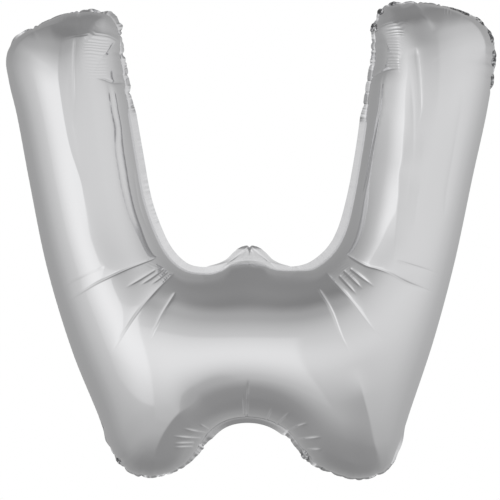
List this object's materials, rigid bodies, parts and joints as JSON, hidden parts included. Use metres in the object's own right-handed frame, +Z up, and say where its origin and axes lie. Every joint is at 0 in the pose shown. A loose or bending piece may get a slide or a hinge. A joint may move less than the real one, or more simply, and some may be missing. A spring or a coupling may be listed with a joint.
{
  "type": "foil letter balloon",
  "caption": "Giant blown-up letter W in plain silver foil, with a welded seam flange all round and a folded filling neck at its middle.",
  "frame": {"origin": "centre of the letter in the seam plane, where the air holds the balloon up", "axes": "+X to the letter's right as it is read, +Y from the front panel to the back panel, +Z up the letter; the front faces -Y and the seam lies in the plane Y = 0"},
  "size_m": [0.8448, 0.262, 0.827],
  "materials": {
    "foil": "satin metallised film",
    "foil_weld": "welded metallised film, a little duller",
    "foil_neck": "satin metallised film",
    "valve_film": "clear thin film"
  },
  "bodies": {
    "root": {"front_panel": "foil", "back_panel": "foil", "seam_flange": "foil_weld", "neck_front_film": "foil_neck", "neck_back_film": "foil_neck", "valve_film": "valve_film"}
  },
  "joints": []
}
